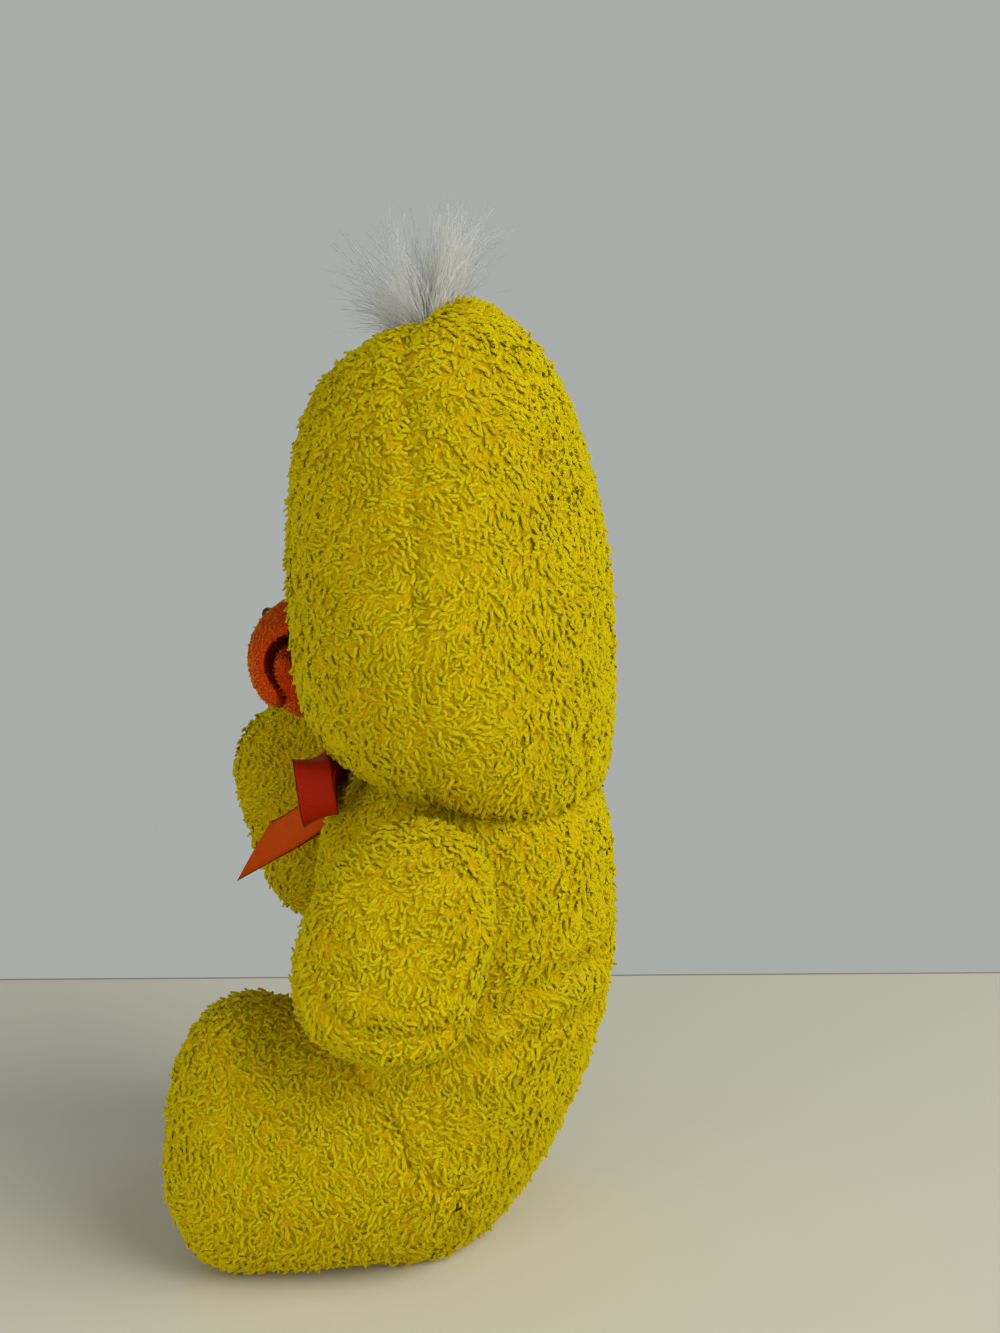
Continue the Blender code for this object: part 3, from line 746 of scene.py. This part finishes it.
def crown_shape(place, _):
    """The tuft is sewn into a dip, and the terry stands up in a low peak behind it."""
    away = place - crown
    dip = Vector((away.x / 0.0095, away.y / 0.0046, away.z / 0.0080)).length
    peak = (place - crown - Vector((0.002, 0.0090, 0.0015))).length / 0.0060
    return 0.0014 * math.exp(-peak ** 2) - 0.0026 * math.exp(-dip ** 2)


def bridged(node, rise, width):
    """Cloth that rises towards a piece it is sewn to, and so fills the groove between them."""
    tree = trees[node]
    return lambda place, _: rise * math.exp(-(tree.find_nearest(place)[3] / width) ** 2)


def swollen(node, reach, share):
    """Padding that swells towards a piece beside it, and nearly closes a gap narrower than the reach."""
    tree = trees[node]

    def shape(place, way):
        away = tree.ray_cast(place, way, reach)[3]
        if not away:
            return 0.0
        return share * max(0.0, away - MOUTH_LEFT_OPEN) * min(1.0, 2 - 2 * away / reach)
    return shape


def together(*shapes):
    """The sum of several shapes' moves."""
    return lambda *spot: sum(shape(*spot) for shape in shapes)


SHAPES = {
    "head": together(seam, crown_shape),
    "body": together(back_fold, hip_fold, bridged("leg_left", *HIP_JOINT), bridged("leg_right", *HIP_JOINT)),
    "leg_left": bridged("body", *HIP_JOINT),
    "leg_right": bridged("body", *HIP_JOINT),
    "wing_left": wing_rim,
    "bill_upper": swollen("bill_lower", MOUTH_REACH, 0.40),
    "bill_lower": swollen("bill_upper", MOUTH_REACH, 0.60),
}
NEIGHBOURS = {
    "head": ("body", "wing_left", "wing_right", "bill_upper", "bill_lower", "eye_left", "eye_right"),
    "body": ("head", "wing_left", "wing_right", "bow_knot"),
    "wing_left": ("head", "body", "leg_left"),
    "wing_right": ("head", "body", "leg_right"),
    "leg_left": ("wing_left",),
    "leg_right": ("wing_right",),
}
SEWN = {"body": ("leg_left", "leg_right"), "leg_left": ("body",), "leg_right": ("body",)}


def soft_piece(name, node=None):
    piece = bpy.data.objects[name]
    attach(piece, "root")
    if node:
        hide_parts(node)


def skin_of(node):
    """The tree of a piece's cloth, or of its solid if it has none."""
    if node not in cloths:
        return trees[node]
    bm = bmesh.new()
    bm.from_mesh(cloths[node].data)
    return tree_from(bm)


cloths = {}
for node in SOFT:
    cloths[node] = ground_cloth(node + "_cloth", node, GROUND_VOXEL, LOOP_RISE, SHAPES.get(node))
    cloths[node].data.materials.append(terry_ground)
    soft_piece(node + "_cloth", node)
for node in ("bill_upper", "bill_lower"):
    cloths[node] = ground_cloth(node + "_cloth", node, BILL_VOXEL, BILL_INSET, SHAPES.get(node))
    cloths[node].data.materials.append(velour_ground)
    soft_piece(node + "_cloth", node)
skins = {node: skin_of(node) for node in trees}

for seed, node in enumerate(SOFT):
    halves = {"": None}
    if node == "head":
        halves = {"_front": lambda place: place.y < head_seam(place.z),
                  "_back": lambda place: place.y >= head_seam(place.z)}
    for suffix, keep in halves.items():
        pile(node + "_pile" + suffix, cloths[node], LOOP_SPACING,
             [skins[other] for other in NEIGHBOURS[node]], [skins[other] for other in SEWN.get(node, ())],
             head_nap if node == "head" else down, loop_models(node + suffix, 1.0), terry,
             40 + seed, keep)
        soft_piece(node + "_pile" + suffix)
for seed, node in enumerate(("bill_upper", "bill_lower")):
    near = [skins[other] for other in ("head", "bill_upper", "bill_lower") if other != node]
    pile(node + "_pile", cloths[node], BILL_SPACING, near, [], down, loop_models(node, BILL_LOOP_SIZE),
         velour, 60 + seed, size=BILL_LOOP_SIZE, wild=0.7)
    soft_piece(node + "_pile", None)


def make_hair():
    """White synthetic hair: wisps that fan out of one sewn root on the crown."""
    models = []
    for i, (bend, sway) in enumerate(HAIR_BENDS):
        route, radii = [], []
        for step in range(HAIR_STEPS + 1):
            share = step / HAIR_STEPS
            curl = sway * 0.5 * math.sin(share * 3.8)
            route.append(Vector((curl, bend * share ** 2, share * (1 - 0.35 * bend * share))) * HAIR_LENGTH)
            radii.append(HAIR_THICKNESS / 2 * (1.0 - 0.55 * share ** 2))
        models.append(strand(f"hair {i}", route, radii))
    rng = np.random.default_rng(5)
    root = crown - Vector((0, 0, HAIR_DEPTH))
    roots = []
    golden = math.pi * (3 - math.sqrt(5))
    for wisp in range(HAIR_WISPS):
        share = math.sqrt((wisp + 0.5) / HAIR_WISPS)
        around = wisp * golden + rng.normal(0, 0.2)
        heading = Vector((math.cos(around), math.sin(around), 0))
        lean = share * (0.76 - 0.54 * heading.y) + rng.normal(0, 0.05)
        length = (1.0 - 0.46 * (lean / 1.2) ** 2) * rng.uniform(0.78, 1.08)
        centre = Vector((0, 0, 1)) * math.cos(lean) + heading * math.sin(lean)
        spread = rng.uniform(0.012, 0.045)
        bend = rng.normal(0, 0.9)
        for _ in range(HAIR_PER_WISP):
            way = (centre + Vector(rng.normal(0, spread, 3))).normalized()
            place = root + heading * 0.0024 * share + Vector(rng.normal(0, 0.0005, 3))
            turn = combed(way, heading + Vector((0, 0, -0.5)), bend + rng.normal(0, 0.4), 0.0)
            roots.append((place, turn, length * rng.uniform(0.55, 1.02),
                          column_of(rng.random(), rng.random()), int(rng.integers(len(models))),
                          (way + Vector((0, 0, 1.5))).normalized()))
    hair = grown("hair_tuft", roots, models, hair_material(), HAIR_SOFTNESS)
    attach(hair, "root")
    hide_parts("crest")


make_hair()


def along_keys(keys, share):
    """A smooth curve through evenly spaced rows of numbers, read at one share."""
    spot = share * (len(keys) - 1)
    step = min(int(spot), len(keys) - 2)
    t = spot - step
    rows = [keys[max(step - 1, 0)], keys[step], keys[step + 1], keys[min(step + 2, len(keys) - 1)]]
    return [0.5 * (2 * b + (c - a) * t + (2 * a - 5 * b + 4 * c - d) * t ** 2
                   + (3 * b - a - 3 * c + d) * t ** 3)
            for a, b, c, d in zip(*rows)]


def curve_through(rows, steps):
    """The smooth curve through some rows, as points."""
    return [Vector(along_keys(rows, i / steps)) for i in range(steps + 1)]


def ribbon(name, node, path, ways, cup, slant, material):
    """A satin ribbon: one cross edge extruded along a path, slightly cupped, then given its thickness.

    A slant cuts its end off at an angle.
    """
    bm = bmesh.new()
    uv = bm.loops.layers.uv.new("OFBake")
    row = [bm.verts.new((0, 0, 0)) for _ in range(RIBBON_COLUMNS + 1)]
    edges = [bm.edges.new(pair) for pair in zip(row, row[1:])]
    places = {}
    last = len(path) - 1
    for step, (point, way) in enumerate(zip(path, ways)):
        if step:
            made = bmesh.ops.extrude_edge_only(bm, edges=edges)["geom"]
            edges = [item for item in made if isinstance(item, bmesh.types.BMEdge)]
            fresh = [item for item in made if isinstance(item, bmesh.types.BMVert)]
            row = [next(v for v in fresh if any(v in e.verts for e in old.link_edges)) for old in row]
        ahead = (path[min(step + 1, last)] - path[max(step - 1, 0)]).normalized()
        face_way = ahead.cross(way).normalized()
        for i, vert in enumerate(row):
            side = i / RIBBON_COLUMNS - 0.5
            vert.co = point + way * side * RIBBON_WIDTH + face_way * cup * (4 * side ** 2 - 0.5)
            vert.co -= ahead * slant * (side + 0.5) * (step / last) ** 2
            places[vert] = (0.02 + 0.96 * i / RIBBON_COLUMNS, 0.02 + 0.96 * step / last)
    for face in bm.faces:
        for loop in face.loops:
            loop[uv].uv = places[loop.vert]
    piece = link(bpy.data.objects.new(name, mesh_from(bm, name)))
    wall = piece.modifiers.new("thickness", "SOLIDIFY")
    wall.thickness = RIBBON_THICKNESS
    wall.offset = 0.0
    finished(piece, material)
    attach(piece, "root")
    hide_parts(node)


# A loop's route: shares of its reach sideways and to the back, of its droop, and how far it has
# turned from upright at the knot to level at its outer end
BOW_ROUTE = (
    (0.00, 0.00, -0.10, 0.0),
    (0.34, -0.07, -0.22, 0.25),
    (0.70, -0.02, -0.42, 0.85),
    (0.96, 0.10, -0.46, 1.0),
    (1.03, 0.15, -0.02, 1.0),
    (0.97, 0.15, 0.54, 1.0),
    (0.68, 0.02, 0.62, 0.75),
    (0.34, -0.05, 0.26, 0.25),
    (0.00, 0.00, 0.10, 0.0),
)
BOW_PARTING = 0.0013
BOW_REACHES = {"left": (0.0260, 0.0095), "right": (0.0120, 0.0070)}
TAIL_REACH, TAIL_DROP, TAIL_SLANT = 0.0260, 0.0222, 0.0135


def make_bow():
    # The loops and the knot get the red satin, which is painted shade on the same ribbon as the orange tails.
    red = satin_material("painted shade satin", SATIN_SHADED_RED)
    orange = satin_material("orange satin", SATIN_ORANGE)
    low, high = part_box("bow_knot")
    middle = (low + high) / 2
    half = (high.x - low.x) / 2
    for hand, side in (("left", 1), ("right", -1)):
        reach, droop_by = BOW_REACHES[hand]
        points, ways = [], []
        for i, (sideways, back, droop, turned) in enumerate(BOW_ROUTE):
            parted = BOW_PARTING * i / (len(BOW_ROUTE) - 1)
            points.append(middle + Vector((side * (half + 0.0003 + sideways * reach), back * reach + parted,
                                           -droop * droop_by)))
            rise = 1.0 - turned + 0.6 * max(0.0, droop) * turned
            ways.append(Vector((-0.34 * side * turned, 0.94 * turned, rise)).normalized())
        path = curve_through(points, BOW_STEPS)
        turns = [way.normalized() for way in curve_through(ways, BOW_STEPS)]
        ribbon("ribbon_loop_" + hand, "bow_loop_" + hand, path, turns, BOW_CUP, 0.0, red)

        root = middle + Vector((side * half * 0.6, -0.0050, -(high.z - middle.z) - 0.0003))
        tip = root + Vector((side * half, 0.0050 - TAIL_REACH, (high.z - middle.z) - TAIL_DROP))
        bend = root + Vector((side * half * 0.9, -0.0030, (tip.z - root.z) * 0.38))
        path = curve_through([root, bend, tip], TAIL_STEPS)
        turns = []
        for here, ahead in zip(path, path[1:] + [path[-1] * 2 - path[-2]]):
            turns.append((ahead - here).cross(Vector((1, 0, 0))).normalized())
        ribbon("ribbon_tail_" + hand, "bow_tail_" + hand, path, turns, TAIL_CUP, TAIL_SLANT, orange)

    bm = bmesh.new()
    uv = bm.loops.layers.uv.new("OFBake")
    bmesh.ops.create_cube(bm, size=1.0)
    bmesh.ops.subdivide_edges(bm, edges=bm.edges, cuts=5, use_grid_fill=True)
    size = high - low
    for vert in bm.verts:
        round_off = vert.co.normalized() * 0.5
        vert.co = vert.co.lerp(round_off, 0.42)
        fold = 0.035 * math.sin(vert.co.x * 21) * (0.5 - abs(vert.co.z))
        vert.co = Vector((vert.co.x * size.x * 1.04, (vert.co.y * 1.06 - fold) * size.y,
                          vert.co.z * size.z * 1.06 * (1 + 0.10 * (2 * vert.co.x) ** 2)))
        vert.co += middle
    for face in bm.faces:
        for loop in face.loops:
            co = loop.vert.co - middle
            loop[uv].uv = (0.5 + 0.86 * co.x / size.x, 0.5 + 0.4 * co.z / size.z + 0.03 * (co.y > 0))
    knot = link(bpy.data.objects.new("ribbon_knot", mesh_from(bm, "ribbon_knot")))
    soft = knot.modifiers.new("soft", "SUBSURF")
    soft.levels = soft.render_levels = 1
    finished(knot, red)
    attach(knot, "root")
    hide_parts("bow_knot")


make_bow()


def make_eyes():
    black = eye_material()
    for node in ("eye_left", "eye_right"):
        low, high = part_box(node)
        middle = (low + high) / 2
        seat, normal, _, _ = trees["head"].find_nearest(middle)
        bm = bmesh.new()
        bmesh.ops.create_uvsphere(bm, u_segments=40, v_segments=24, radius=(high.z - low.z) / 2)
        bmesh.ops.scale(bm, verts=bm.verts, vec=(1, 1, EYE_FLATNESS))
        bmesh.ops.rotate(bm, verts=bm.verts, cent=(0, 0, 0),
                         matrix=normal.to_track_quat("Z", "Y").to_matrix())
        bmesh.ops.translate(bm, verts=bm.verts, vec=seat + normal * EYE_RISE)
        mesh = mesh_from(bm, node + "_dome")
        dome = link(bpy.data.objects.new(node + "_dome", mesh))
        mesh.materials.append(black)
        mesh.shade_smooth()
        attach(dome, "root")
        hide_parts(node)


def make_stitches():
    thread = thread_material()
    for node in ("nostril_left", "nostril_right"):
        low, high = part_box(node)
        middle = (low + high) / 2
        _, normal, _, _ = trees["bill_upper"].find_nearest(middle)
        lean = (Vector((0, 0, 1)) - normal * normal.z).normalized()
        route, radii = [], []
        for step in range(STITCH_STEPS + 1):
            share = step / STITCH_STEPS - 0.5
            spot, out, _, _ = trees["bill_upper"].find_nearest(middle + lean * share * STITCH_LENGTH)
            route.append(spot + out * (0.0006 - 0.0010 * (2 * share) ** 2))
            radii.append(STITCH_RADIUS)
        model = strand(node, route, radii, 8)
        still = Matrix.Identity(3)
        stitch = grown(node + "_stitch", [(Vector(), still, 1.0, 9, 0, normal)], [model], thread)
        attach(stitch, "root")
        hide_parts(node)


make_eyes()
make_stitches()


lens = bpy.data.cameras.new("camera")
lens.sensor_fit = "VERTICAL"
lens.sensor_width, lens.sensor_height = 27.0, 36.0
lens.lens = 36.0 * FOCAL_PIXELS / PICTURE[1]
lens.clip_start = 0.01
camera = link(bpy.data.objects.new("camera", lens))
camera.matrix_world = Matrix.Translation(eye_place) @ eye_turn.to_4x4()
bpy.context.scene.camera = camera


def make_table():
    """A pale table top whose far edge lies just behind the duck."""
    bm = bmesh.new()
    bmesh.ops.create_grid(bm, x_segments=2, y_segments=2, size=1.0)
    for vert in bm.verts:
        away = -TABLE_BEHIND if vert.co.y < 0 else (1.4 if vert.co.y > 0 else 0.6)
        vert.co = flat * away + right * vert.co.x * 1.6
    bmesh.ops.recalc_face_normals(bm, faces=bm.faces)
    mesh = mesh_from(bm, "table")
    table = link(bpy.data.objects.new("table", mesh))
    made, graph, shader = new_material("pale table", {"Roughness": 0.7, "Specular IOR Level": 0.3})
    cloud = graph.speckle(6.0, 3.0)
    place = graph.add("ShaderNodeTexCoord", None, None, 3)
    x, y = [graph.add("ShaderNodeSeparateXYZ", None, {0: place}, i) for i in (0, 1)]
    # Painted shadow: a dark line along the table's far edge.
    edge = (x * flat.x + y * flat.y) < 0.0012 - TABLE_BEHIND
    color = graph.blend(cloud * 0.25, TABLE, TABLE_CLOUD)
    lead(graph, graph.blend(edge * 0.7, color, TABLE_EDGE_SHADOW), shader, "Base Color")
    mesh.materials.append(made)


make_table()


def add_light(name, place, size, power, color):
    """A round area light that faces the duck."""
    light = bpy.data.lights.new(name, "AREA")
    light.shape = "DISK"
    light.size = size
    light.energy = power
    light.color = color
    obj = link(bpy.data.objects.new(name, light))
    obj.location = place
    obj.rotation_euler = (Vector(LIGHT_AIM) - obj.location).to_track_quat("-Z", "Y").to_euler()


for name, ((ahead, beside, above), size, power, color) in LIGHTS.items():
    add_light(name, flat * ahead + right * beside + Vector((0, 0, 1)) * above, size, power, color)

world = bpy.data.worlds.new("studio")
bpy.context.scene.world = world
world.use_nodes = True
graph = Graph(world.node_tree)
background = world.node_tree.nodes["Background"]
seen = [graph.add("ShaderNodeLightPath", None, None, output) for output in
        ("Is Camera Ray", "Is Glossy Ray", "Is Transmission Ray")]
shown = (seen[0] + seen[1] * 0.6 + seen[2]).held()
graph.tree.links.new(graph.blend(shown, ROOM_LIGHT, WALL).socket, background.inputs["Color"])

bpy.context.scene.view_settings.view_transform = "Standard"
